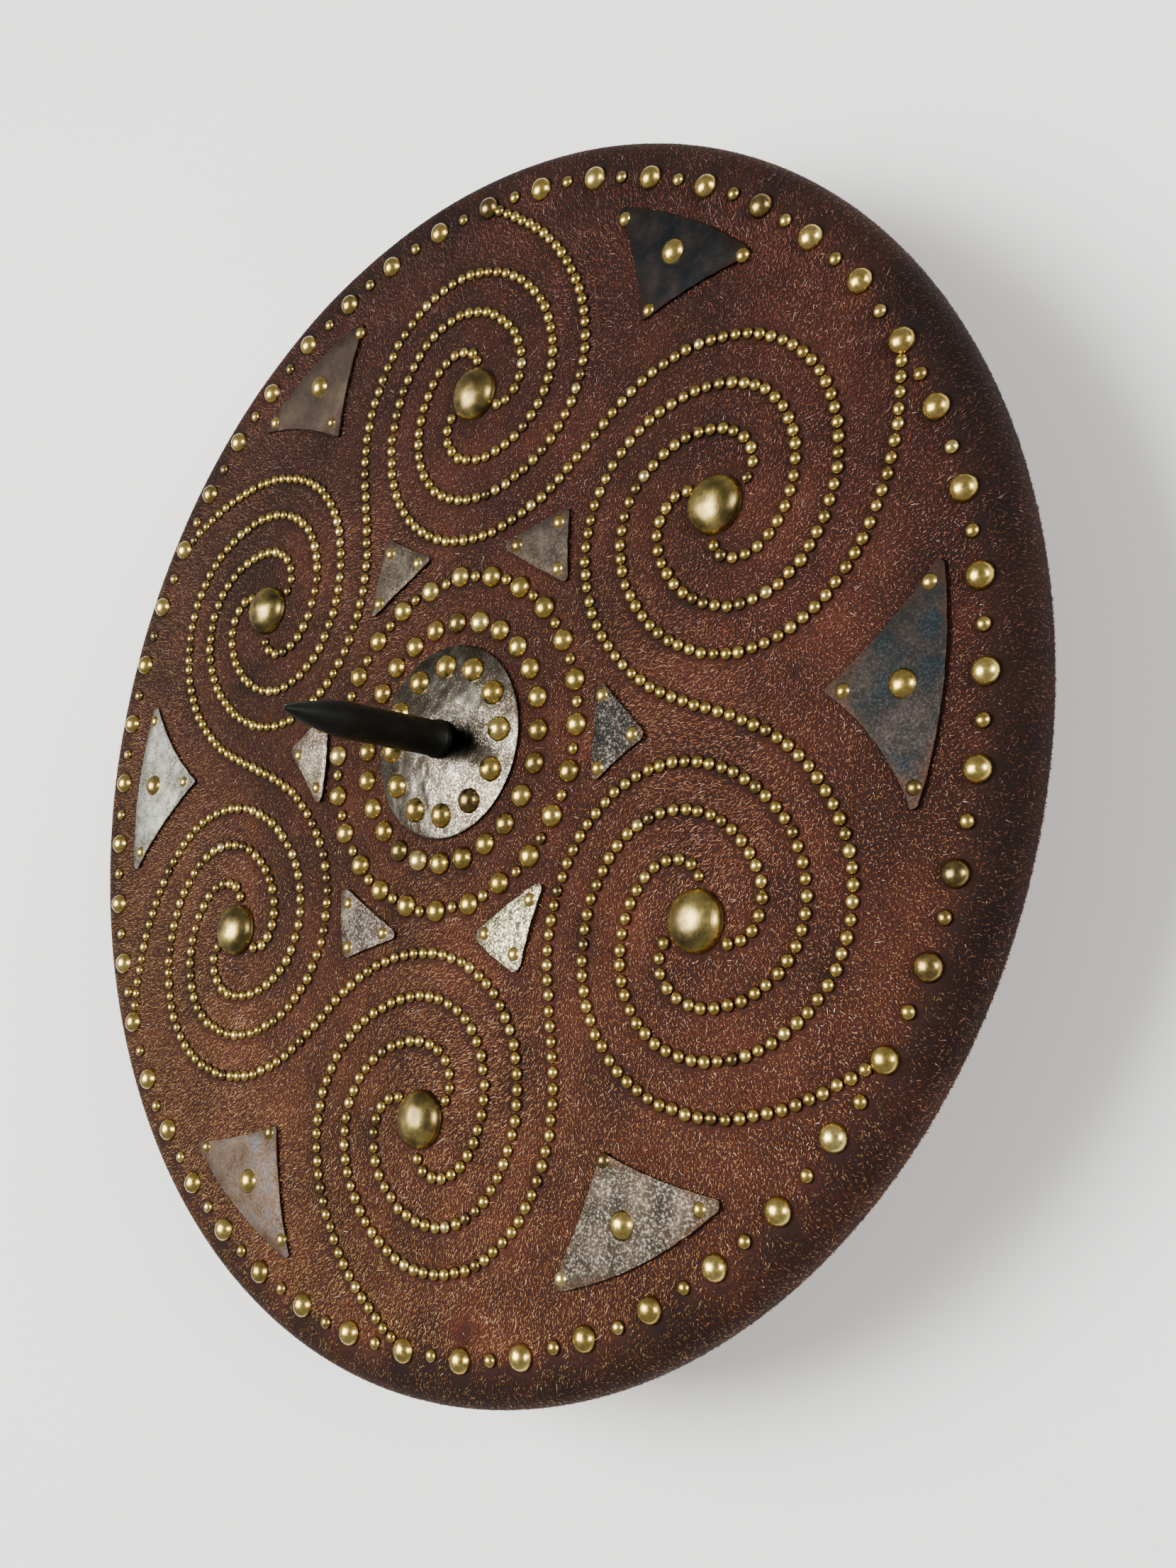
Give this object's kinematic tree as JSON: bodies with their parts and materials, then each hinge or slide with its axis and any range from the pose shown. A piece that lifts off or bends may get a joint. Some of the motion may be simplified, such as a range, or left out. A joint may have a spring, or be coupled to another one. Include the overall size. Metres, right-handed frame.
{
  "type": "hide shield",
  "caption": "Round hide-covered shield with linked spirals and rings of brass studs, thin steel plates, a studded centre plate with a spike, and two leather straps behind.",
  "frame": {"origin": "middle of the footprint, on the surface that the two straps lie on", "axes": "+Z out of the studded face, along the board's axis; +Y towards the first spiral; the forearm lies along X, with the wide strap at -X and the hand grip at +X"},
  "size_m": [0.5, 0.5, 0.1612],
  "materials": {
    "hide": "short reddish-brown hair, matt",
    "brass": "aged, softly polished",
    "steel": "mottled, patchy tarnish",
    "black_iron": "blackened, low sheen",
    "strap_leather": "smooth brown strap leather"
  },
  "bodies": {
    "root": {"hide_covered_board": "hide", "centre_plate": "steel", "spike": "black_iron", "boss_1": "brass", "link_row_1": "brass", "rim_row_1": "brass", "rim_plate_1": "steel", "inner_plate_1": "steel", "boss_2": "brass", "link_row_2": "brass", "rim_row_2": "brass", "rim_plate_2": "steel", "inner_plate_2": "steel", "boss_3": "brass", "link_row_3": "brass", "rim_row_3": "brass", "rim_plate_3": "steel", "inner_plate_3": "steel", "boss_4": "brass", "link_row_4": "brass", "rim_row_4": "brass", "rim_plate_4": "steel", "inner_plate_4": "steel", "boss_5": "brass", "link_row_5": "brass", "rim_row_5": "brass", "rim_plate_5": "steel", "inner_plate_5": "steel", "boss_6": "brass", "link_row_6": "brass", "rim_row_6": "brass", "rim_plate_6": "steel", "inner_plate_6": "steel", "arm_strap": "strap_leather", "hand_grip": "strap_leather"}
  },
  "joints": []
}
